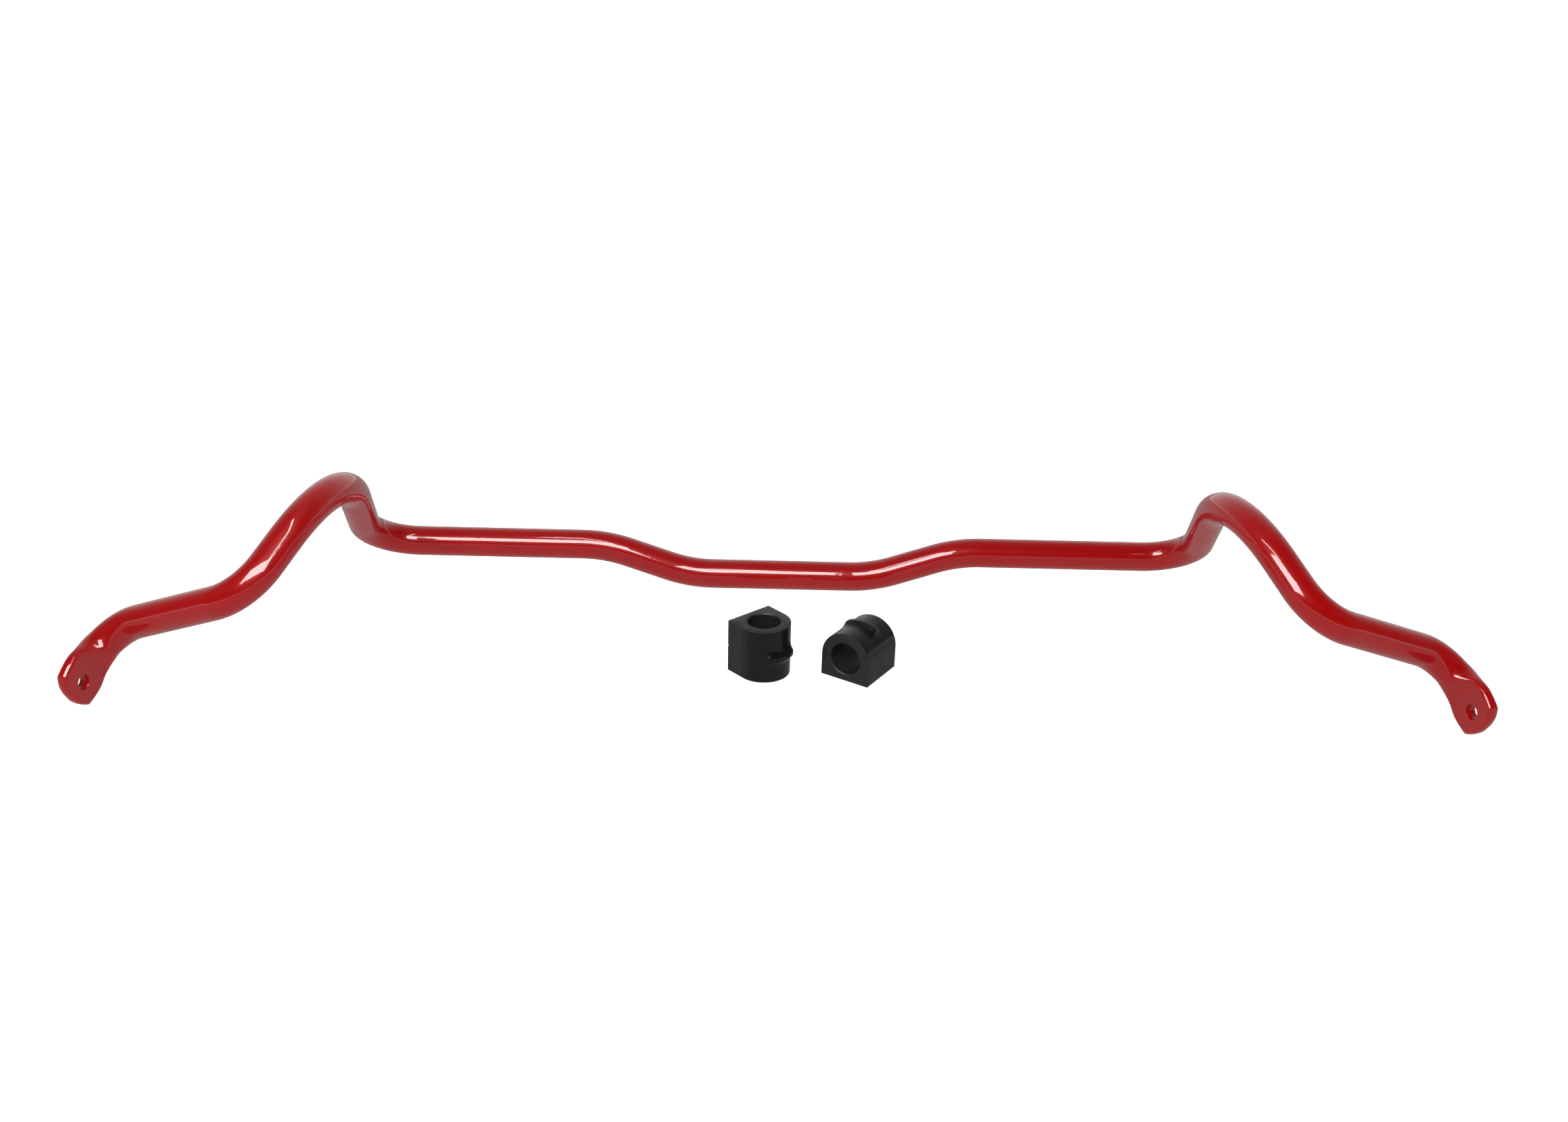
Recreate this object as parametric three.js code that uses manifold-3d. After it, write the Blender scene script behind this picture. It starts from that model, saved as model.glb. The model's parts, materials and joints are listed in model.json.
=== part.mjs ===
// Front sway bar with its two centre bushes, laid out on a flat surface.
// Millimetres, +Z up, X along the bar. The bar lies on its dropped centre section and on the
// tips of its two link eyes, and the bushes stand loose in front of it.
import * as THREE from "three";
import { mergeVertices } from "three/addons/utils/BufferGeometryUtils.js";
import Module from "manifold-3d";

const wasm = await Module();
wasm.setup();

// ---- Driving dimensions ---------------------------------------------------------------------

// Round bar
const BAR_DIAMETER = 27;
const BAR_RADIUS = BAR_DIAMETER / 2;
const HALF_GAP = 0.15; // each half stops this far from the middle of the bar

// Bends of one half, measured from the middle of the bush axis: X outwards, Y back, Z up.
const CENTRE_DROP = 27; // the centre section hangs this far below the bush axis
const CENTRE_BEND_X = 85;
const MOUNT_INNER_X = 163;
const MOUNT_OUTER_X = 382;
const MOUNT_OUTER = new THREE.Vector3(MOUNT_OUTER_X, 0, 0);

// Legs of the arm, from each bend to the next on the same axes
const RISER_LEG = new THREE.Vector3(-26, -144, 130);
const ARM_LEG = new THREE.Vector3(54, -104, -71);
const OUTER_LEG = new THREE.Vector3(126, 43, -51.8);
const EYE_LEG = new THREE.Vector3(11, -42, -25.5);
const HUMP = MOUNT_OUTER.clone().add(RISER_LEG);
const ARM_BEND = HUMP.clone().add(ARM_LEG);
const END_BEND = ARM_BEND.clone().add(OUTER_LEG);
const EYE_CENTRE = END_BEND.clone().add(EYE_LEG);

const CENTRE_BEND_RADIUS = 130;
const MOUNT_BEND_RADIUS = 130;
const RISER_BEND_RADIUS = 42;
const HUMP_BEND_RADIUS = 93;
const ARM_BEND_RADIUS = 41;
const END_BEND_RADIUS = 36;

// Forged link eye
const EYE_WIDTH = 45;
const EYE_THICKNESS = 9;
const EYE_EDGE_RADIUS = 4;
const EYE_TIP_LENGTH = 15.8; // from the hole's centre to the tip
const EYE_CORNER_WIDTH = 41.4; // across the two corners where the tip's arc begins
const EYE_CORNER_REACH = 8.5; // from the hole's centre to those corners
const EYE_FLAT_LENGTH = 14; // from the hole's centre back to where the face stops being flat
const EYE_SHOULDER = 6; // from the hole's centre back to the full width
const NECK_LENGTH = 20; // round bar to flat eye
const SPREAD_START = 38; // from the hole's centre back to where the round bar starts to widen
const LINK_HOLE_DIAMETER = 12;

// D-shaped bush
const BORE_CLEARANCE = 0.3; // all round, on the bar
const BUSH_WIDTH = 45;
const BUSH_LENGTH = 46;
const BORE_HEIGHT = 20; // bore axis above the flat base
const RIB_WIDTH = 6;
const RIB_HEIGHT = 3.4;
const RIB_HALF_ANGLE = 45; // degrees each side of the crown's top
const RIB_FILLET = 4;

// Where the loose bushes lie, on the same axes as the bends
const STANDING_BUSH = { x: -15, y: -163, turn: -138 };
const LYING_BUSH = { x: 65.4, y: -159, turn: -33 };

// Roundness of the model
const BAR_SIDES_PER_QUARTER = 5;
const BEND_STEP = 11; // degrees
const EYE_RING_STEP = 4;
const TIP_RINGS = 6;
const CROWN_SEGMENTS = 20;
const BORE_SEGMENTS = 32;
const HOLE_SEGMENTS = 24;
const MERGE_DISTANCE = 1e-4;

// ---- Solids ---------------------------------------------------------------------------------

function toSolid(geometry) {
  const plain = geometry.clone();
  plain.deleteAttribute("normal");
  plain.deleteAttribute("uv");
  const merged = mergeVertices(plain, MERGE_DISTANCE);
  const corners = merged.index.array;
  const triangles = [];
  for (let first = 0; first < corners.length; first += 3) {
    const [a, b, c] = corners.slice(first, first + 3);
    if (a !== b && b !== c && c !== a) {
      triangles.push(a, b, c);
    }
  }
  return new wasm.Manifold(
    new wasm.Mesh({
      numProp: 3,
      vertProperties: new Float32Array(merged.attributes.position.array),
      triVerts: new Uint32Array(triangles),
    }),
  );
}

function toGeometry(solid) {
  const mesh = solid.getMesh();
  const geometry = new THREE.BufferGeometry();
  geometry.setAttribute("position", new THREE.BufferAttribute(mesh.vertProperties, 3));
  geometry.setIndex(new THREE.BufferAttribute(mesh.triVerts, 1));
  geometry.computeVertexNormals();
  return geometry;
}

// ---- Bar centreline -------------------------------------------------------------------------

// Points and directions from the middle of the bar to the link eye: straights joined by arcs.
function centrelineStations() {
  const corners = [
    new THREE.Vector3(HALF_GAP, 0, -CENTRE_DROP),
    new THREE.Vector3(CENTRE_BEND_X, 0, -CENTRE_DROP),
    new THREE.Vector3(MOUNT_INNER_X, 0, 0),
    MOUNT_OUTER,
    HUMP,
    ARM_BEND,
    END_BEND,
    EYE_CENTRE,
  ];
  const radii = [
    CENTRE_BEND_RADIUS,
    MOUNT_BEND_RADIUS,
    RISER_BEND_RADIUS,
    HUMP_BEND_RADIUS,
    ARM_BEND_RADIUS,
    END_BEND_RADIUS,
  ];
  const firstDirection = corners[1].clone().sub(corners[0]).normalize();
  const stations = [{ point: corners[0].clone(), direction: firstDirection }];
  radii.forEach((radius, index) => {
    stations.push(...bendStations(corners[index], corners[index + 1], corners[index + 2], radius));
  });
  return stations;
}

function bendStations(before, corner, after, radius) {
  const inward = corner.clone().sub(before).normalize();
  const outward = after.clone().sub(corner).normalize();
  const turn = inward.angleTo(outward);
  const start = corner.clone().addScaledVector(inward, -radius * Math.tan(turn / 2));
  const towardsCentre = outward.clone().addScaledVector(inward, -inward.dot(outward)).normalize();
  const centre = start.clone().addScaledVector(towardsCentre, radius);
  const steps = Math.max(2, Math.ceil(THREE.MathUtils.radToDeg(turn) / BEND_STEP));
  const stations = [];
  for (let step = 0; step <= steps; step++) {
    const angle = (turn * step) / steps;
    stations.push({
      point: centre
        .clone()
        .addScaledVector(towardsCentre, -radius * Math.cos(angle))
        .addScaledVector(inward, radius * Math.sin(angle)),
      direction: inward
        .clone()
        .multiplyScalar(Math.cos(angle))
        .addScaledVector(towardsCentre, Math.sin(angle)),
    });
  }
  return stations;
}

// ---- Link eye -------------------------------------------------------------------------------

// The eye stands upright: its flat faces are vertical planes along the end of the bar.
const eyeDirection = EYE_LEG.clone().normalize();
const eyeNormal = new THREE.Vector3(eyeDirection.y, -eyeDirection.x, 0).normalize();

// Section of the bar at a distance along the end, counted from the hole's centre.
const tipRise = EYE_TIP_LENGTH - EYE_CORNER_REACH;
const tipRadius = ((EYE_CORNER_WIDTH / 2) ** 2 + tipRise ** 2) / (2 * tipRise);

function eyeHalfWidth(distance) {
  const depth = EYE_TIP_LENGTH - distance;
  if (depth < tipRise) return Math.sqrt(depth * (2 * tipRadius - depth));
  const taper = (distance + EYE_SHOULDER) / (EYE_CORNER_REACH + EYE_SHOULDER);
  const loss = (EYE_WIDTH - EYE_CORNER_WIDTH) * Math.max(taper, 0) ** 2;
  return (EYE_WIDTH - loss) / 2;
}

function eyeSection(distance) {
  const neckStart = -(EYE_FLAT_LENGTH + NECK_LENGTH);
  const flat = THREE.MathUtils.smoothstep(distance, neckStart, -EYE_FLAT_LENGTH);
  const spread = THREE.MathUtils.smoothstep(distance, -SPREAD_START, -EYE_SHOULDER);
  const halfWidth = THREE.MathUtils.lerp(BAR_RADIUS, eyeHalfWidth(distance), spread);
  const edge = THREE.MathUtils.lerp(BAR_RADIUS, EYE_EDGE_RADIUS, flat);
  return {
    halfWidth: Math.max(halfWidth, edge),
    halfThickness: THREE.MathUtils.lerp(BAR_RADIUS, EYE_THICKNESS / 2, flat),
    edge,
  };
}

// Points along the straight end, from the last bend to the tip of the eye.
function endStations(lastBend) {
  const distances = [];
  const bendEnd = -EYE_CENTRE.distanceTo(lastBend);
  for (let distance = bendEnd + EYE_RING_STEP; distance < EYE_CORNER_REACH - 1; distance += EYE_RING_STEP) {
    distances.push(distance);
  }
  for (let ring = 0; ring <= TIP_RINGS; ring++) {
    distances.push(EYE_CORNER_REACH + tipRise * Math.sin(((Math.PI / 2) * ring) / TIP_RINGS));
  }
  return distances.map((distance) => ({
    point: EYE_CENTRE.clone().addScaledVector(eyeDirection, distance),
    direction: eyeDirection.clone(),
    distance,
  }));
}

// ---- Half bar -------------------------------------------------------------------------------

// A cylinder's rings are laid along the centreline and given each station's section.
function halfBarGeometry() {
  const bends = centrelineStations();
  const ending = endStations(bends.at(-1).point);
  let distance = -EYE_CENTRE.distanceTo(bends.at(-1).point);
  bends.toReversed().forEach((station, index, reversed) => {
    distance -= index === 0 ? 0 : station.point.distanceTo(reversed[index - 1].point);
    station.distance = distance;
  });
  const stations = [...bends, ...ending];

  // Sideways directions are carried back from the eye, so the rings never twist.
  let side = eyeNormal.clone().cross(eyeDirection);
  for (const station of stations.toReversed()) {
    side = side.addScaledVector(station.direction, -side.dot(station.direction)).normalize();
    station.side = side.clone();
    station.normal = side.clone().cross(station.direction);
    station.section = eyeSection(station.distance);
  }

  const sides = 4 * (BAR_SIDES_PER_QUARTER + 1);
  const geometry = new THREE.CylinderGeometry(1, 1, 1, sides, stations.length - 1, false);
  const position = geometry.attributes.position;
  for (let index = 0; index < position.count; index++) {
    const x = position.getX(index);
    const z = position.getZ(index);
    const ring = Math.round((position.getY(index) + 0.5) * (stations.length - 1));
    const station = stations[ring];
    const point = station.point.clone();
    if (Math.hypot(x, z) > 0.5) {
      const around = Math.round((Math.atan2(z, x) / (2 * Math.PI)) * sides + sides) % sides;
      const [across, through] = sectionPoint(station.section, around);
      point.addScaledVector(station.side, across).addScaledVector(station.normal, through);
    }
    position.setXYZ(index, point.x, point.y, point.z);
  }
  return geometry;
}

// Corner arcs of a rounded rectangle, which is a circle when the edge radius is the half width.
function sectionPoint({ halfWidth, halfThickness, edge }, around) {
  const quarter = Math.floor(around / (BAR_SIDES_PER_QUARTER + 1));
  const along = (around % (BAR_SIDES_PER_QUARTER + 1)) / BAR_SIDES_PER_QUARTER;
  const angle = (quarter + along) * (Math.PI / 2);
  const signAcross = quarter === 0 || quarter === 3 ? 1 : -1;
  const signThrough = quarter < 2 ? 1 : -1;
  return [
    signAcross * (halfWidth - edge) + edge * Math.cos(angle),
    signThrough * (halfThickness - edge) + edge * Math.sin(angle),
  ];
}

function halfBarSolid() {
  const holeLength = 4 * EYE_THICKNESS;
  const drill = new THREE.CylinderGeometry(
    LINK_HOLE_DIAMETER / 2,
    LINK_HOLE_DIAMETER / 2,
    holeLength,
    HOLE_SEGMENTS,
  );
  const placing = new THREE.Matrix4().compose(
    EYE_CENTRE,
    new THREE.Quaternion().setFromUnitVectors(new THREE.Vector3(0, 1, 0), eyeNormal),
    new THREE.Vector3(1, 1, 1),
  );
  return toSolid(halfBarGeometry()).subtract(toSolid(drill.applyMatrix4(placing)));
}

// ---- Bush -----------------------------------------------------------------------------------

// Bore along Z with its middle at the origin, flat base towards -Y, crown towards +Y.
function bushSolid() {
  const crownRadius = BUSH_WIDTH / 2;
  const outline = new THREE.Shape();
  outline.moveTo(-crownRadius, -BORE_HEIGHT);
  outline.lineTo(crownRadius, -BORE_HEIGHT);
  outline.absarc(0, 0, crownRadius, 0, Math.PI, false);
  outline.closePath();
  const body = new THREE.ExtrudeGeometry(outline, {
    depth: BUSH_LENGTH,
    bevelEnabled: false,
    curveSegments: CROWN_SEGMENTS,
  }).translate(0, 0, -BUSH_LENGTH / 2);
  const bore = new THREE.CylinderGeometry(
    BAR_RADIUS + BORE_CLEARANCE,
    BAR_RADIUS + BORE_CLEARANCE,
    2 * BUSH_LENGTH,
    BORE_SEGMENTS,
  ).rotateX(Math.PI / 2);
  return toSolid(body).add(crownRibSolid(crownRadius)).subtract(toSolid(bore));
}

// Raised locating rib at mid-length, over the top of the crown.
function crownRibSolid(crownRadius) {
  const seat = crownRadius - RIB_HEIGHT;
  const top = crownRadius + RIB_HEIGHT;
  const profile = [
    new THREE.Vector2(seat, -RIB_WIDTH / 2 - RIB_FILLET),
    new THREE.Vector2(crownRadius, -RIB_WIDTH / 2 - RIB_FILLET),
    new THREE.Vector2(top, -RIB_WIDTH / 2),
    new THREE.Vector2(top, RIB_WIDTH / 2),
    new THREE.Vector2(crownRadius, RIB_WIDTH / 2 + RIB_FILLET),
    new THREE.Vector2(seat, RIB_WIDTH / 2 + RIB_FILLET),
    new THREE.Vector2(seat, -RIB_WIDTH / 2 - RIB_FILLET),
  ];
  const ring = new THREE.LatheGeometry(profile, 2 * CROWN_SEGMENTS).rotateX(Math.PI / 2);
  const halfAngle = THREE.MathUtils.degToRad(RIB_HALF_ANGLE);
  const reach = 2 * top;
  const sector = new THREE.Shape();
  sector.moveTo(0, 0);
  sector.lineTo(reach * Math.sin(halfAngle), reach * Math.cos(halfAngle));
  sector.lineTo(-reach * Math.sin(halfAngle), reach * Math.cos(halfAngle));
  sector.closePath();
  const wedge = new THREE.ExtrudeGeometry(sector, { depth: BUSH_LENGTH, bevelEnabled: false });
  wedge.translate(0, 0, -BUSH_LENGTH / 2);
  return toSolid(ring).intersect(toSolid(wedge));
}

// ---- Assembly -------------------------------------------------------------------------------

const redCoat = new THREE.MeshStandardMaterial({ color: 0xa3060b, roughness: 0.22, metalness: 0.1 });
const blackBush = new THREE.MeshStandardMaterial({ color: 0x17171a, roughness: 0.5, metalness: 0 });
const FLOOR_Z = -(CENTRE_DROP + BAR_RADIUS);

function namedMesh(name, geometry, material) {
  const mesh = new THREE.Mesh(geometry, material);
  mesh.name = name;
  return mesh;
}

const layout = new THREE.Group();

const halfBar = toGeometry(halfBarSolid());
const rightHalf = namedMesh("bar_right_half", halfBar, redCoat);
const leftHalf = namedMesh("bar_left_half", halfBar, redCoat);
leftHalf.scale.x = -1;
layout.add(rightHalf, leftHalf);

const bush = toGeometry(bushSolid());

const standingBush = namedMesh("left_bush", bush, blackBush);
standingBush.position.set(STANDING_BUSH.x, STANDING_BUSH.y, FLOOR_Z + BUSH_LENGTH / 2);
standingBush.rotation.z = THREE.MathUtils.degToRad(STANDING_BUSH.turn);
layout.add(standingBush);

const lyingPlace = new THREE.Group();
lyingPlace.position.set(LYING_BUSH.x, LYING_BUSH.y, FLOOR_Z + BORE_HEIGHT);
lyingPlace.rotation.z = THREE.MathUtils.degToRad(LYING_BUSH.turn);
const lyingBush = namedMesh("right_bush", bush, blackBush);
lyingBush.rotation.x = Math.PI / 2;
lyingPlace.add(lyingBush);
layout.add(lyingPlace);

// The origin is under the middle of the layout, on the surface that it lies on.
layout.updateMatrixWorld(true);
const bounds = new THREE.Box3().setFromObject(layout);
const middle = bounds.getCenter(new THREE.Vector3());
layout.position.set(-middle.x, -middle.y, -bounds.min.z);

const root = new THREE.Group();
root.add(layout);

export default root;
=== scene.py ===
"""Front sway bar with two loose D-shaped bushes, on a pale studio floor.

The bar is one continuous swept mesh that stands for both CAD halves, and each bush is one
detailed mesh that stands for its CAD solid. Metres, +Z up, in the CAD frame.
"""
import json
import math

import bmesh
import bpy
from mathutils import Matrix, Vector


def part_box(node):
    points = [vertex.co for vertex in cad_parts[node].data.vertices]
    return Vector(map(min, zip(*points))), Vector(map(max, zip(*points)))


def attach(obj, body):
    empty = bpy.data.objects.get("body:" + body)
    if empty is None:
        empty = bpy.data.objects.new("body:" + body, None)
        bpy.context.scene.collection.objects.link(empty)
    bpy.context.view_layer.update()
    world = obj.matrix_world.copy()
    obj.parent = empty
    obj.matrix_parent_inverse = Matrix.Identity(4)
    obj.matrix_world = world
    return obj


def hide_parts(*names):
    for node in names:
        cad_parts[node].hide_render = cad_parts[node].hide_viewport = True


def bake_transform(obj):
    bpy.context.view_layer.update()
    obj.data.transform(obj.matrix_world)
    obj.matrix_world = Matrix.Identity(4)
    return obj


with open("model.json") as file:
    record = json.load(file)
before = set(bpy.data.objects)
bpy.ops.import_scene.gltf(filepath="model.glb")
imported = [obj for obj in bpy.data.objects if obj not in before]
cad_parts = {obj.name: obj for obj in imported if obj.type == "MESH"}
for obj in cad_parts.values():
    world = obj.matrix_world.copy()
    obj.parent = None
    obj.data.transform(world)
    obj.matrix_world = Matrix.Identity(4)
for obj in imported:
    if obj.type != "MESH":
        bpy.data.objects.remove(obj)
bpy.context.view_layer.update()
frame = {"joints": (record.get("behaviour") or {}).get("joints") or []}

MM = 0.001

# ---- Bar sizes, shared with the CAD model ----------------------------------------------------

BAR_RADIUS = 13.5 * MM
CENTRE_DROP = 27  # in millimetres, like all of the centreline
MOUNT_INNER_X = 163
HALF_CORNERS = [  # bends of one half, from the middle of the bush axis
    (85, 0, -CENTRE_DROP),
    (MOUNT_INNER_X, 0, 0),
    (382, 0, 0),
    (356, -144, 130),
    (410, -248, 59),
    (536, -205, 7.2),
    (547, -247, -18.3),
]
HALF_RADII = [130, 130, 42, 93, 41, 36]

# Distances along the eye are counted from the link hole's centre.
EYE_WIDTH = 45 * MM
EYE_THICKNESS = 9 * MM
EYE_EDGE_RADIUS = 4 * MM
EYE_TIP_LENGTH = 15.8 * MM
EYE_CORNER_WIDTH = 41.4 * MM
EYE_CORNER_REACH = 8.5 * MM
EYE_FLAT_LENGTH = 14 * MM
EYE_SHOULDER = 6 * MM
NECK_LENGTH = 20 * MM
SPREAD_START = 38 * MM
LINK_HOLE_RADIUS = 6 * MM
LINK_HOLE_LEAD_IN = 0.6 * MM

TIP_RISE = EYE_TIP_LENGTH - EYE_CORNER_REACH
TIP_RADIUS = ((EYE_CORNER_WIDTH / 2) ** 2 + TIP_RISE ** 2) / (2 * TIP_RISE)
TIP_LEAST_HALF_WIDTH = 2.5 * MM
TIP_LEAST_ROUNDING = 0.3 * MM

# ---- Bush sizes, shared with the CAD model where it has them ---------------------------------

BUSH_WIDTH = 45 * MM
BUSH_LENGTH = 46 * MM
CROWN_RADIUS = BUSH_WIDTH / 2
BORE_RADIUS = 13.8 * MM
BORE_HEIGHT = 20 * MM  # bore axis above the flat base
BORE_LEAD_IN = 0.7 * MM
KNURL_HEIGHT = 0.3 * MM
BASE_CORNER_RADIUS = 0.9 * MM
END_ROUNDING = 0.45 * MM
SPLIT_WIDTH = 0.32 * MM
SPLIT_DEPTH = 0.5 * MM

NOTCH_DEPTH = 0.5 * MM  # small notch across both corners of the base, halfway along
NOTCH_HALF_LENGTH = 0.75 * MM
NOTCH_REACH = 1.2 * MM

RIB_HEIGHT = 3.4 * MM
RIB_CREST = 3.6 * MM
RIB_CENTRE = -1.6 * MM
RIB_LONG_FILLET = 12 * MM
RIB_SHORT_FILLET = 7 * MM
RIB_FULL_ANGLE = 30  # degrees either side of the top of the crown
RIB_END_ANGLE = 46
RIB_CREST_SOFTENING = 0.06  # share of the fillet over which the crest's edge is eased

POLISH_START = -4 * MM  # height above the bore's axis where the wall starts to turn glossy
POLISH_FULL = 7 * MM
POLISH_END_MARGIN = 0.3 * MM
SKIN_DEPTH = 1.0 * MM

STANDING_TURN = -138  # degrees about Z
LYING_TURN = -33

# ---- Fineness of the meshes ------------------------------------------------------------------

BAR_SIDES = 96
BAR_STEP = 2.2 * MM
EYE_STEP = 0.7 * MM
EYE_CORNER_RINGS = 12
EYE_TIP_RINGS = 26
LINK_HOLE_SEGMENTS = 64
CROWN_POINTS = 72
FLAT_POINTS = 12
ARC_STEPS = 4
LEAST_POINT_GAP = 0.05 * MM
WALL_RINGS = 120
BORE_SIDES = 180
BORE_RINGS = 84
KNURL_SPACING = 3  # bore sides from one raised point to the next

# The hinge's own point is the middle of the bush axis.
twist = next(joint for joint in frame["joints"] if joint["name"] == "bar_twist")
AXIS_MIDDLE = Vector(twist["pos_m"])


# ---- Small helpers ---------------------------------------------------------------------------

def new_object(name, mesh):
    piece = bpy.data.objects.new(name, mesh)
    bpy.context.scene.collection.objects.link(piece)
    return piece


def shade(piece, sharp_degrees):
    mesh = piece.data
    mesh.polygons.foreach_set("use_smooth", [True] * len(mesh.polygons))
    mesh.set_sharp_from_angle(angle=math.radians(sharp_degrees))


def smoothstep(value, low, high):
    t = min(max((value - low) / (high - low), 0.0), 1.0)
    return t * t * (3 - 2 * t)


def apply_modifiers(piece):
    depsgraph = bpy.context.evaluated_depsgraph_get()
    made = bpy.data.meshes.new_from_object(piece.evaluated_get(depsgraph))
    piece.modifiers.clear()
    piece.data = made


def band_faces(first, rings, sides, inward=False):
    """Quads between neighbouring rings of vertices, facing outward or inward."""
    faces = []
    for ring in range(rings - 1):
        for k in range(sides):
            a = first + ring * sides + k
            b = first + ring * sides + (k + 1) % sides
            if inward:
                faces.append((a, a + sides, b + sides, b))
            else:
                faces.append((a, b, b + sides, a + sides))
    return faces


def revolve(name, profile, segments):
    """Closed solid of revolution about Z from (height, radius) pairs."""
    mesh = bpy.data.meshes.new(name)
    verts = []
    for height, radius in profile:
        for k in range(segments):
            angle = 2 * math.pi * k / segments
            verts.append((radius * math.cos(angle), radius * math.sin(angle), height))
    faces = band_faces(0, len(profile), segments)
    faces.append(tuple(range(segments))[::-1])
    faces.append(tuple(range((len(profile) - 1) * segments, len(profile) * segments)))
    mesh.from_pydata(verts, [], faces)
    return new_object(name, mesh)


# ---- Bar centreline --------------------------------------------------------------------------

def bend_arc(before, corner, after, radius):
    """Points and directions round one bend."""
    inward = (corner - before).normalized()
    outward = (after - corner).normalized()
    turn = inward.angle(outward)
    start = corner - inward * radius * math.tan(turn / 2)
    towards = (outward - inward * inward.dot(outward)).normalized()
    centre = start + towards * radius
    count = max(2, math.ceil(radius * turn / BAR_STEP))
    stations = []
    for index in range(count + 1):
        angle = turn * index / count
        point = centre - towards * radius * math.cos(angle) + inward * radius * math.sin(angle)
        direction = inward * math.cos(angle) + towards * math.sin(angle)
        stations.append((point, direction))
    return stations


def fill_straights(bends):
    """Adds stations to the straight stretches between bends."""
    stations = [bends[0]]
    for point, direction in bends[1:]:
        last, last_direction = stations[-1]
        fillers = int((point - last).length / (1.5 * BAR_STEP))
        for filler in range(1, fillers + 1):
            between = last.lerp(point, filler / (fillers + 1))
            stations.append((between, last_direction))
        stations.append((point, direction))
    return stations


def half_centreline():
    """Stations (point, direction, distance from the hole's centre) of the right half."""
    corners = [Vector((0, 0, -CENTRE_DROP))] + [Vector(corner) for corner in HALF_CORNERS]
    corners = [corner * MM + AXIS_MIDDLE for corner in corners]
    eye = corners[-1]
    bends = [(corners[0], (corners[1] - corners[0]).normalized())]
    for index, radius in enumerate(HALF_RADII):
        bends += bend_arc(*corners[index:index + 3], radius * MM)
    stations = fill_straights(bends)

    end_direction = (corners[-1] - corners[-2]).normalized()
    start = stations[-1][0]
    count = math.ceil((eye - start).length / EYE_STEP)
    for index in range(1, count + 1):
        stations.append((start.lerp(eye, index / count), end_direction))
    eye_index = len(stations) - 1
    for ring in range(1, EYE_CORNER_RINGS + 1):
        reach = EYE_CORNER_REACH * ring / EYE_CORNER_RINGS
        stations.append((eye + end_direction * reach, end_direction))
    for ring in range(1, EYE_TIP_RINGS + 1):
        reach = EYE_CORNER_REACH + TIP_RISE * math.sin(math.pi / 2 * ring / EYE_TIP_RINGS)
        stations.append((eye + end_direction * reach, end_direction))

    distances = [0.0] * len(stations)
    for index in range(eye_index - 1, -1, -1):
        gap = (stations[index + 1][0] - stations[index][0]).length
        distances[index] = distances[index + 1] - gap
    for index in range(eye_index + 1, len(stations)):
        distances[index] = (stations[index][0] - eye).length
    return [(point, direction, d) for (point, direction), d in zip(stations, distances)], eye


# ---- Bar section -----------------------------------------------------------------------------

def eye_half_width(distance):
    """Half width of the flattened eye: nearly straight sides, and one arc round the tip."""
    depth = EYE_TIP_LENGTH - distance
    if depth < TIP_RISE:
        return math.sqrt(max(depth * (2 * TIP_RADIUS - depth), 0.0))
    taper = max((distance + EYE_SHOULDER) / (EYE_CORNER_REACH + EYE_SHOULDER), 0.0)
    return (EYE_WIDTH - (EYE_WIDTH - EYE_CORNER_WIDTH) * taper ** 2) / 2


def eye_section(distance):
    """Half width, half thickness and edge radius at a distance from the hole's centre."""
    neck_start = -(EYE_FLAT_LENGTH + NECK_LENGTH)
    flat = smoothstep(distance, neck_start, -EYE_FLAT_LENGTH)
    spread = smoothstep(distance, -SPREAD_START, -EYE_SHOULDER)
    full = BAR_RADIUS + (eye_half_width(distance) - BAR_RADIUS) * spread
    edge = BAR_RADIUS + (EYE_EDGE_RADIUS - BAR_RADIUS) * flat
    thickness = BAR_RADIUS + (EYE_THICKNESS / 2 - BAR_RADIUS) * flat
    left = EYE_TIP_LENGTH - distance
    if left < EYE_EDGE_RADIUS:  # the tip's own edge is rounded through the thickness too
        drop = EYE_EDGE_RADIUS - left
        rounded = math.sqrt(max(EYE_EDGE_RADIUS ** 2 - drop ** 2, 0.0))
        thickness = EYE_THICKNESS / 2 - EYE_EDGE_RADIUS + max(rounded, TIP_LEAST_ROUNDING)
    width = max(full, TIP_LEAST_HALF_WIDTH)
    return width, thickness, min(edge, thickness * 0.999, width * 0.999)


def section_point(along, width, thickness, edge):
    """Point of a rounded rectangle's first quarter, measured from the middle of its side."""
    flat_up = thickness - edge
    arc = edge * math.pi / 2
    if along <= flat_up:
        return width, along
    if along <= flat_up + arc:
        angle = (along - flat_up) / edge
        return width - edge + edge * math.cos(angle), flat_up + edge * math.sin(angle)
    return width - edge - (along - flat_up - arc), thickness


def section_loop(width, thickness, edge):
    """Rounded rectangle, its points evenly spaced within each quarter."""
    quarter = BAR_SIDES // 4
    length = thickness - edge + edge * math.pi / 2 + width - edge
    half = []
    for index in range(quarter):
        half.append(section_point(length * index / quarter, width, thickness, edge))
    for index in range(quarter, 0, -1):
        across, up = section_point(length * index / quarter, width, thickness, edge)
        half.append((-across, up))
    return half + [(-across, -up) for across, up in half]


# ---- Bar -------------------------------------------------------------------------------------

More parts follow.
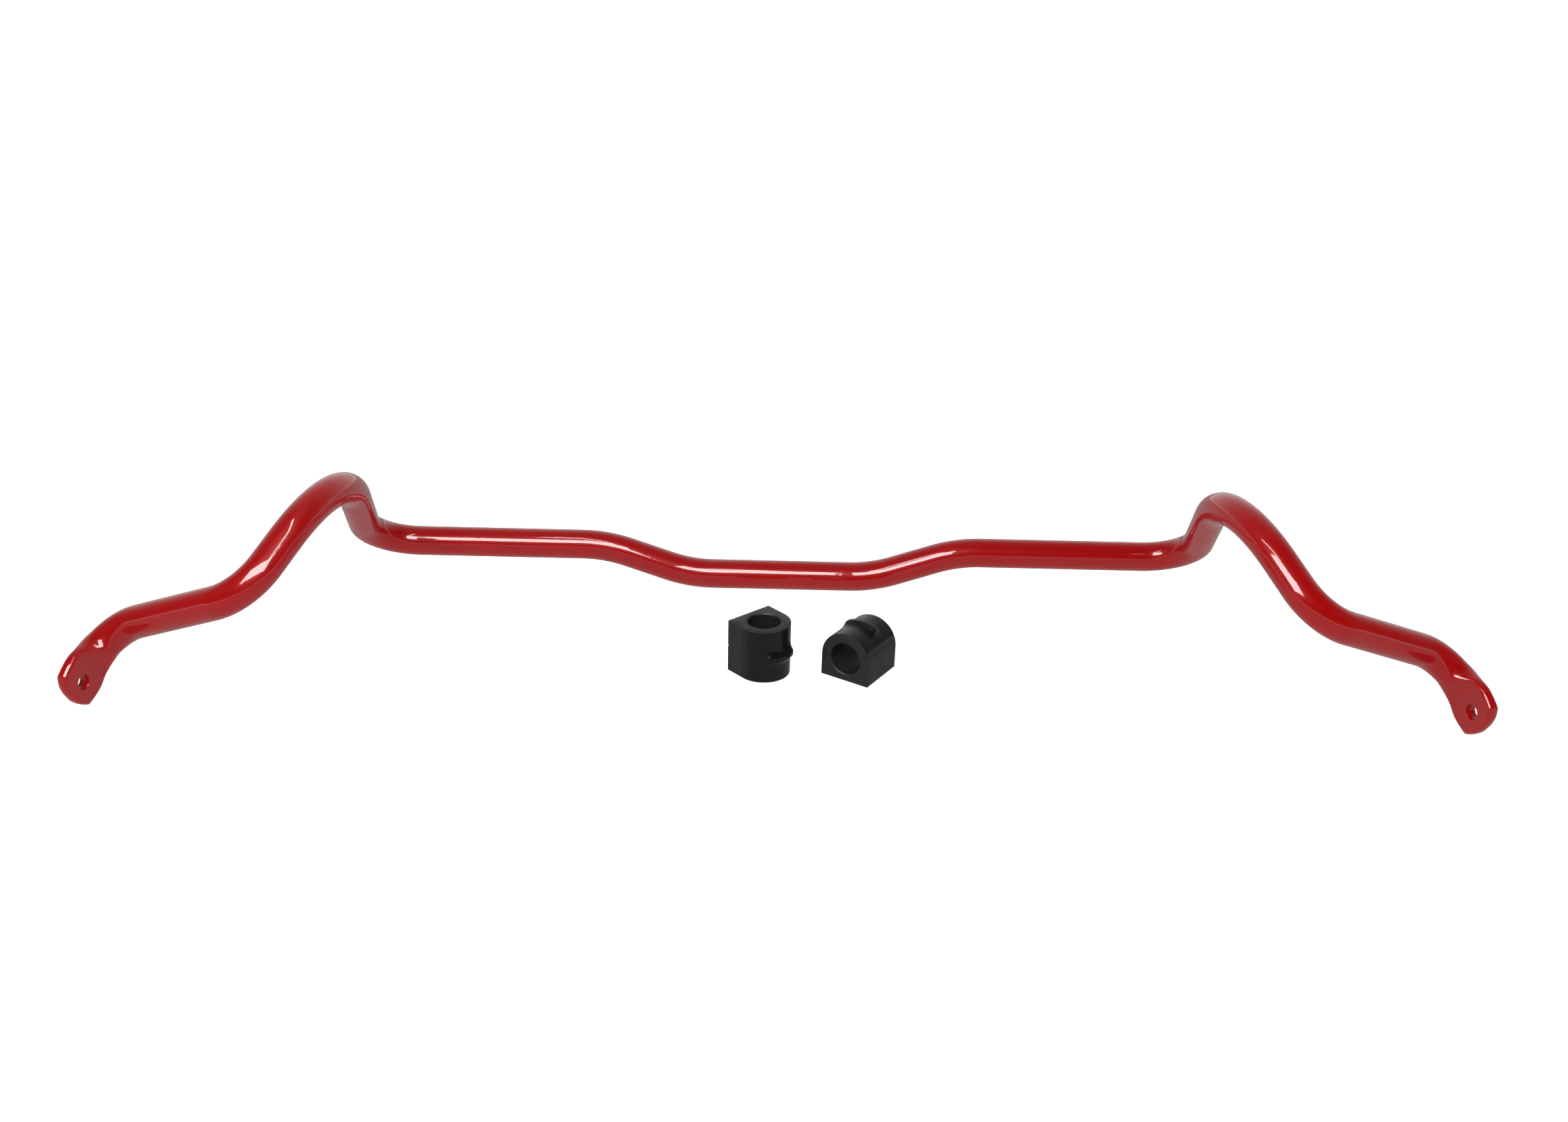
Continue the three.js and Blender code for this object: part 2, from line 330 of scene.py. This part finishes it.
def drill_eye(bar, centre, normal):
    """Cuts the link hole, with a small lead-in at both faces."""
    lead = LINK_HOLE_LEAD_IN
    half = EYE_THICKNESS / 2
    upper = [
        (half - lead, LINK_HOLE_RADIUS),
        (half - lead * 0.4, LINK_HOLE_RADIUS + lead * 0.35),
        (half + lead, LINK_HOLE_RADIUS + 2 * lead),
        (3 * half, LINK_HOLE_RADIUS + 3 * lead),
    ]
    profile = [(-height, radius) for height, radius in reversed(upper)] + upper
    cutter = revolve("cutter", profile, LINK_HOLE_SEGMENTS)
    turn = normal.to_track_quat("Z", "Y").to_matrix().to_4x4()
    cutter.matrix_world = Matrix.Translation(centre) @ turn
    cut = bar.modifiers.new("hole", "BOOLEAN")
    cut.operation = "DIFFERENCE"
    cut.solver = "EXACT"
    cut.object = cutter
    bpy.context.view_layer.update()
    apply_modifiers(bar)
    bpy.data.objects.remove(cutter)


def build_bar():
    """The whole bar in one sweep: both halves share one set of rings, mirrored about the middle."""
    stations, eye = half_centreline()
    end_direction = stations[-1][1]
    normal = Vector((end_direction.y, -end_direction.x, 0)).normalized()
    side = normal.cross(end_direction)
    right = []
    for point, direction, distance in reversed(stations):
        side = (side - direction * side.dot(direction)).normalized()
        through = side.cross(direction)
        loop = section_loop(*eye_section(distance))
        right.append([point + side * across + through * up for across, up in loop])
    right.reverse()
    left = [[Vector((-p.x, p.y, p.z)) for p in ring] for ring in reversed(right[1:])]
    rings = left + right

    verts = [tuple(p) for ring in rings for p in ring]
    faces = band_faces(0, len(rings), BAR_SIDES)
    left_tip = len(verts)
    right_tip = left_tip + 1
    for ring in (rings[0], rings[-1]):
        verts.append(tuple(sum(ring, Vector()) / BAR_SIDES))
    last = (len(rings) - 1) * BAR_SIDES
    for k in range(BAR_SIDES):
        faces.append((left_tip, (k + 1) % BAR_SIDES, k))
        faces.append((right_tip, last + k, last + (k + 1) % BAR_SIDES))
    mesh = bpy.data.meshes.new("sway_bar")
    mesh.from_pydata(verts, [], faces)
    mesh.validate()

    work = bmesh.new()
    work.from_mesh(mesh)
    bmesh.ops.recalc_face_normals(work, faces=work.faces)
    work.to_mesh(mesh)
    work.free()
    bar = new_object("sway_bar", mesh)
    for mirror in (1, -1):
        drill_eye(bar, Vector((eye.x * mirror, eye.y, eye.z)),
                  Vector((normal.x * mirror, normal.y, normal.z)))
    return bar


# ---- Bush ------------------------------------------------------------------------------------

def base_corner(side, start):
    """Rounded corner of the base: -1 for the left side and 1 for the right."""
    points = []
    for k in range(ARC_STEPS + 1):
        angle = start + math.pi / 2 * k / ARC_STEPS
        points.append((side * (CROWN_RADIUS - BASE_CORNER_RADIUS) + BASE_CORNER_RADIUS * math.cos(angle),
                       BASE_CORNER_RADIUS - BORE_HEIGHT + BASE_CORNER_RADIUS * math.sin(angle)))
    return points


def bush_outline():
    """D-shaped outline as (x, y), counter-clockwise from the foot of the right side."""
    wall = BORE_HEIGHT - BASE_CORNER_RADIUS
    base = BUSH_WIDTH - 2 * BASE_CORNER_RADIUS
    outline = []
    for k in range(FLAT_POINTS):
        outline.append((CROWN_RADIUS, -wall + (wall - SPLIT_WIDTH) * k / FLAT_POINTS))
    outline.append((CROWN_RADIUS, -SPLIT_WIDTH))
    outline.append((CROWN_RADIUS - SPLIT_DEPTH, -SPLIT_WIDTH / 2))
    for k in range(CROWN_POINTS):
        angle = math.pi * k / CROWN_POINTS
        outline.append((CROWN_RADIUS * math.cos(angle), CROWN_RADIUS * math.sin(angle)))
    for k in range(FLAT_POINTS):
        outline.append((-CROWN_RADIUS, -wall * k / FLAT_POINTS))
    outline += base_corner(-1, math.pi)
    for k in range(1, FLAT_POINTS):
        outline.append((-base / 2 + base * k / FLAT_POINTS, -BORE_HEIGHT))
    outline += base_corner(1, 1.5 * math.pi)
    clean = [outline[0]]
    for point in outline[1:]:
        if min(math.dist(point, clean[-1]), math.dist(point, outline[0])) > LEAST_POINT_GAP:
            clean.append(point)
    return clean


def rib_rise(x, y, z):
    """How far the crown's rib lifts the surface at this place."""
    if y <= 0:
        return 0.0
    lean = math.degrees(abs(math.atan2(x, y)))
    ends = 1 - smoothstep(lean, RIB_FULL_ANGLE, RIB_END_ANGLE)
    away = z - RIB_CENTRE
    fillet = RIB_LONG_FILLET if away > 0 else RIB_SHORT_FILLET
    share = max(abs(away) - RIB_CREST / 2, 0.0) / fillet
    if share >= 1:
        return 0.0
    eased = math.hypot(share, RIB_CREST_SOFTENING) - RIB_CREST_SOFTENING
    return RIB_HEIGHT * ends * (1 - eased / (1 - RIB_CREST_SOFTENING)) ** 3


def ring_heights(lower_end, count):
    """Rings (height, offset) of a bush: those of its lower end, even ones, and the upper end's."""
    span = -2 * lower_end[-1][0]
    between = [(span * (k / count - 0.5), 0.0) for k in range(1, count)]
    return lower_end + between + [(-z, offset) for z, offset in reversed(lower_end)]


def outer_rings(outline):
    """Outside wall with its rounded ends, rib and corner notches."""
    end = -BUSH_LENGTH / 2
    heights = ring_heights([
        (end, END_ROUNDING),
        (end + END_ROUNDING * 0.3, END_ROUNDING * 0.3),
        (end + END_ROUNDING, 0.0),
    ], WALL_RINGS)
    rings = []
    for z, inset in heights:
        notch = NOTCH_DEPTH * max(0.0, 1 - abs(z) / NOTCH_HALF_LENGTH)
        ring = []
        for x, y in outline:
            scale = 1 + (rib_rise(x, y, z) - inset * 1.1) / math.hypot(x, y)
            px, py = x * scale, y * scale
            if y < NOTCH_REACH - BORE_HEIGHT and abs(x) > CROWN_RADIUS - NOTCH_REACH:
                px -= math.copysign(notch, x)
                py += notch
            ring.append((px, py, z))
        rings.append(ring)
    return rings


def bore_rings():
    """Bore wall with fine knurling and a small lead-in at both ends."""
    end = -BUSH_LENGTH / 2
    heights = ring_heights([
        (end, BORE_LEAD_IN),
        (end + BORE_LEAD_IN * 0.6, BORE_LEAD_IN * 0.3),
        (end + BORE_LEAD_IN * 1.3, 0.0),
    ], BORE_RINGS)
    rings = []
    for index, (z, extra) in enumerate(heights):
        ring = []
        for k in range(BORE_SIDES):
            angle = 2 * math.pi * k / BORE_SIDES
            raised = k % KNURL_SPACING == 0 and index % 2 == 0 and extra == 0.0
            radius = BORE_RADIUS + extra - (KNURL_HEIGHT if raised else 0.0)
            ring.append((radius * math.cos(angle), radius * math.sin(angle), z))
        rings.append(ring)
    return rings


def ring_edges(work, first, sides):
    """Edges of one ring of vertices."""
    return [work.edges.get((work.verts[first + k], work.verts[first + (k + 1) % sides]))
            for k in range(sides)]


def mark_polish(mesh):
    """Stores how glossy each place is: the crown comes out of its mould smoother than the rest."""
    polish = mesh.attributes.new("polish", "FLOAT", "POINT")
    for vertex, value in zip(mesh.vertices, polish.data):
        x, y, z = vertex.co
        outer = math.hypot(x, y) > CROWN_RADIUS - SKIN_DEPTH
        if outer and abs(z) < BUSH_LENGTH / 2 - POLISH_END_MARGIN:
            value.value = smoothstep(y, POLISH_START, POLISH_FULL)


def build_bush(name):
    """Bore along Z, flat base towards -Y, crown towards +Y, middle of the bore at the origin."""
    outer = outer_rings(bush_outline())
    bore = bore_rings()
    count = len(outer[0])
    start = len(outer) * count
    verts = [vert for ring in outer + bore for vert in ring]
    faces = band_faces(0, len(outer), count)
    faces += band_faces(start, len(bore), BORE_SIDES, inward=True)
    mesh = bpy.data.meshes.new(name)
    mesh.from_pydata(verts, [], faces)

    work = bmesh.new()
    work.from_mesh(mesh)
    work.verts.ensure_lookup_table()
    lower = ring_edges(work, 0, count) + ring_edges(work, start, BORE_SIDES)
    upper = ring_edges(work, (len(outer) - 1) * count, count)
    upper += ring_edges(work, start + (len(bore) - 1) * BORE_SIDES, BORE_SIDES)
    for edges in (lower, upper):
        bmesh.ops.triangle_fill(work, use_beauty=True, use_dissolve=False, edges=edges)
    bmesh.ops.recalc_face_normals(work, faces=work.faces)
    work.to_mesh(mesh)
    work.free()
    mark_polish(mesh)
    return new_object(name, mesh)


# ---- Materials -------------------------------------------------------------------------------

def grey(value):
    return (value, value, value)


def new_material(name):
    material = bpy.data.materials.new(name)
    material.use_nodes = True
    return material, material.node_tree, material.node_tree.nodes["Principled BSDF"]


def noise(tree, scale, detail, roughness, where):
    node = tree.nodes.new("ShaderNodeTexNoise")
    node.inputs["Scale"].default_value = scale
    node.inputs["Detail"].default_value = detail
    node.inputs["Roughness"].default_value = roughness
    tree.links.new(where, node.inputs["Vector"])
    return node.outputs["Fac"]


def ramp(tree, source, stops):
    node = tree.nodes.new("ShaderNodeValToRGB")
    elements = node.color_ramp.elements
    while len(elements) < len(stops):
        elements.new(0.5)
    for element, (position, colour) in zip(elements, stops):
        element.position = position
        element.color = (*colour, 1)
    tree.links.new(source, node.inputs["Fac"])
    return node.outputs["Color"]


def bump(tree, shader, height, strength, distance, below=None):
    node = tree.nodes.new("ShaderNodeBump")
    node.inputs["Strength"].default_value = strength
    node.inputs["Distance"].default_value = distance
    tree.links.new(height, node.inputs["Height"])
    if below:
        tree.links.new(below, node.inputs["Normal"])
    tree.links.new(node.outputs["Normal"], shader.inputs["Normal"])
    return node.outputs["Normal"]


def red_powder_coat():
    """Fine flecks of red under a clear glossy skin with a light orange peel."""
    material, tree, shader = new_material("red_powder_coat")
    place = tree.nodes.new("ShaderNodeTexCoord").outputs["Object"]
    fleck = noise(tree, 2600, 2, 0.6, place)
    colour = ramp(tree, fleck, [
        (0.30, (0.215, 0.0006, 0.0010)),
        (0.52, (0.245, 0.0008, 0.0013)),
        (0.72, (0.290, 0.0028, 0.0036)),
    ])
    tree.links.new(colour, shader.inputs["Base Color"])
    patch = noise(tree, 45, 3, 0.5, place)
    rough = ramp(tree, patch, [(0.3, grey(0.30)), (0.7, grey(0.38))])
    tree.links.new(rough, shader.inputs["Roughness"])
    shader.inputs["Specular IOR Level"].default_value = 0.12
    shader.inputs["Coat Weight"].default_value = 1.0
    shader.inputs["Coat Roughness"].default_value = 0.02
    shader.inputs["Coat IOR"].default_value = 1.5
    peel = noise(tree, 420, 2, 0.4, place)
    wave = noise(tree, 110, 1, 0.3, place)
    wavy = bump(tree, shader, wave, 0.10, 0.0006)
    peeled = bump(tree, shader, peel, 0.10, 0.0002, wavy)
    tree.links.new(peeled, shader.inputs["Coat Normal"])
    return material


def black_polyurethane():
    """Matt black on the ends and sides, darker and glossier where the crown is polished."""
    material, tree, shader = new_material("black_polyurethane")
    place = tree.nodes.new("ShaderNodeTexCoord").outputs["Object"]
    polish = tree.nodes.new("ShaderNodeAttribute")
    polish.attribute_name = "polish"

    def by_polish(plain, polished):
        mix = tree.nodes.new("ShaderNodeMix")
        mix.data_type = "RGBA"
        tree.links.new(polish.outputs["Fac"], mix.inputs["Factor"])
        tree.links.new(plain, mix.inputs["A"])
        tree.links.new(polished, mix.inputs["B"])
        return mix.outputs["Result"]

    mottle = noise(tree, 90, 4, 0.55, place)
    matt = ramp(tree, mottle, [
        (0.30, (0.0074, 0.0074, 0.0085)),
        (0.70, (0.0116, 0.0116, 0.0132)),
    ])
    glossy = ramp(tree, mottle, [
        (0.30, (0.0030, 0.0030, 0.0036)),
        (0.70, (0.0048, 0.0048, 0.0056)),
    ])
    tree.links.new(by_polish(matt, glossy), shader.inputs["Base Color"])
    patch = noise(tree, 60, 3, 0.6, place)
    rough = ramp(tree, patch, [(0.3, grey(0.42)), (0.7, grey(0.54))])
    smooth = ramp(tree, patch, [(0.3, grey(0.20)), (0.7, grey(0.27))])
    tree.links.new(by_polish(rough, smooth), shader.inputs["Roughness"])
    shader.inputs["Specular IOR Level"].default_value = 0.35
    grain = noise(tree, 1500, 3, 0.6, place)
    bump(tree, shader, grain, 0.18, 0.00012)
    return material


# ---- Pieces ----------------------------------------------------------------------------------

def place_bush(name, node, body, turn, lying):
    """Builds a bush and moves it to the middle of its CAD box, resting on the same surface."""
    low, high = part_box(node)
    bush = build_bush(name)
    shade(bush, 32)
    bush.data.materials.append(rubber)
    upright = Matrix.Rotation(math.pi / 2, 4, "X") if lying else Matrix.Identity(4)
    bush.data.transform(Matrix.Rotation(math.radians(turn), 4, "Z") @ upright)
    mesh_low = Vector([min(v.co[axis] for v in bush.data.vertices) for axis in range(3)])
    mesh_high = Vector([max(v.co[axis] for v in bush.data.vertices) for axis in range(3)])
    move = (Vector(low) + Vector(high)) / 2 - (mesh_low + mesh_high) / 2
    move.z = low[2] - mesh_low.z
    bush.data.transform(Matrix.Translation(move))
    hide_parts(node)
    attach(bush, body)


bar = build_bar()
shade(bar, 50)
bar.data.materials.clear()
bar.data.materials.append(red_powder_coat())
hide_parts("bar_left_half", "bar_right_half")
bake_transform(bar)

rubber = black_polyurethane()
place_bush("standing_bush", "left_bush", "standing_bush", STANDING_TURN, False)
place_bush("lying_bush", "right_bush", "lying_bush", LYING_TURN, True)


# ---- Floor and light -------------------------------------------------------------------------

FLOOR_REACH = 40.0
FLOOR_ALBEDO = 0.45
FLOOR_GLOW = 0.97

# The middle of the bar, which the fill lights face.
BAR_MIDDLE = (0, 0.12, 0.04)


def build_floor():
    reach = FLOOR_REACH
    mesh = bpy.data.meshes.new("floor")
    mesh.from_pydata([(-reach, -reach, 0), (reach, -reach, 0), (reach, reach, 0), (-reach, reach, 0)],
                     [], [(0, 1, 2, 3)])
    floor = new_object("floor", mesh)
    material, tree, shader = new_material("pale_floor")
    shader.inputs["Base Color"].default_value = (*grey(FLOOR_ALBEDO), 1)
    shader.inputs["Roughness"].default_value = 0.9
    shader.inputs["Specular IOR Level"].default_value = 0.0
    shader.inputs["Emission Color"].default_value = (1, 1, 1, 1)
    shader.inputs["Emission Strength"].default_value = FLOOR_GLOW
    mesh.materials.append(material)
    floor.visible_glossy = False


def add_softbox(name, place, aim, size, radiance, glossy=False, diffuse=False):
    """Rectangular lamp that shows only in reflections or only as soft light."""
    data = bpy.data.lights.new(name, "AREA")
    data.shape = "RECTANGLE"
    data.size, data.size_y = size
    data.energy = radiance * math.pi * size[0] * size[1]
    lamp = new_object(name, data)
    lamp.location = place
    lamp.rotation_mode = "QUATERNION"
    lamp.rotation_quaternion = (Vector(aim) - Vector(place)).to_track_quat("-Z", "Y")
    lamp.visible_camera = False
    lamp.visible_glossy = glossy
    lamp.visible_diffuse = diffuse


def build_world():
    """Pale all round the horizon, bright behind the bar and dark over the camera."""
    world = bpy.data.worlds.new("studio")
    bpy.context.scene.world = world
    world.use_nodes = True
    tree = world.node_tree
    background = tree.nodes["Background"]
    direction = tree.nodes.new("ShaderNodeTexCoord")
    split = tree.nodes.new("ShaderNodeSeparateXYZ")
    tree.links.new(direction.outputs["Generated"], split.inputs["Vector"])

    def spread(output):
        node = tree.nodes.new("ShaderNodeMapRange")
        node.inputs["From Min"].default_value = -1
        node.inputs["From Max"].default_value = 1
        tree.links.new(output, node.inputs["Value"])
        return node.outputs["Result"]

    def combine(operation, first, second):
        node = tree.nodes.new("ShaderNodeMath")
        node.operation = operation
        tree.links.new(first, node.inputs[0])
        tree.links.new(second, node.inputs[1])
        return node.outputs["Value"]

    depth = spread(split.outputs["Y"])
    height = spread(split.outputs["Z"])
    back = ramp(tree, depth, [
        (0.00, grey(0.03)),
        (0.48, grey(0.04)),
        (0.64, grey(0.16)),
        (0.82, grey(0.42)),
        (0.97, grey(0.8)),
    ])
    sky = ramp(tree, height, [(0.49, grey(0.0)), (0.51, grey(1.0))])
    band = ramp(tree, height, [
        (0.00, grey(0.36)),
        (0.480, grey(0.36)),
        (0.485, grey(1.0)),
        (0.512, grey(1.0)),
        (0.530, grey(0.0)),
    ])
    light = combine("MAXIMUM", combine("MULTIPLY", back, sky), band)
    tree.links.new(light, background.inputs["Color"])
    background.inputs["Strength"].default_value = 1.0


build_floor()
build_world()
add_softbox("key", (-0.25, -0.47, 0.57), (-0.25, 0.11, 0.03), (0.68, 0.30), 15, glossy=True)
add_softbox("arm_lamp", (-0.17, -0.24, 0.72), (0.0, -0.05, 0.10), (0.42, 0.05), 16, glossy=True)
add_softbox("front", (-0.3, -1.6, 1.5), BAR_MIDDLE, (1.6, 0.9), 9, diffuse=True)
add_softbox("left_fill", (-2.0, -0.6, 1.2), BAR_MIDDLE, (0.8, 0.8), 8, diffuse=True)
add_softbox("right_fill", (2.0, -0.6, 1.2), BAR_MIDDLE, (0.8, 0.8), 8, diffuse=True)
add_softbox("top_fill", (0.0, 0.1, 2.2), BAR_MIDDLE, (1.6, 0.8), 3.5, diffuse=True)


# ---- Camera ----------------------------------------------------------------------------------

CAMERA_PLACE = Vector((-0.012, -1.1342, 0.592))
CAMERA_AIM = Vector((0.003, 0.1878, 0.0))
CAMERA_ROLL = math.radians(1.554)
CAMERA_LENS = 33.94  # in millimetres, on a 36 mm wide sensor

camera_data = bpy.data.cameras.new("camera")
camera_data.sensor_width = 36
camera_data.lens = CAMERA_LENS
camera = new_object("camera", camera_data)
bpy.context.scene.camera = camera
camera.location = CAMERA_PLACE
look = (CAMERA_AIM - CAMERA_PLACE).to_track_quat("-Z", "Y").to_matrix().to_4x4()
camera.rotation_mode = "QUATERNION"
camera.rotation_quaternion = (look @ Matrix.Rotation(CAMERA_ROLL, 4, "Z")).to_quaternion()

bpy.context.scene.view_settings.view_transform = "Standard"
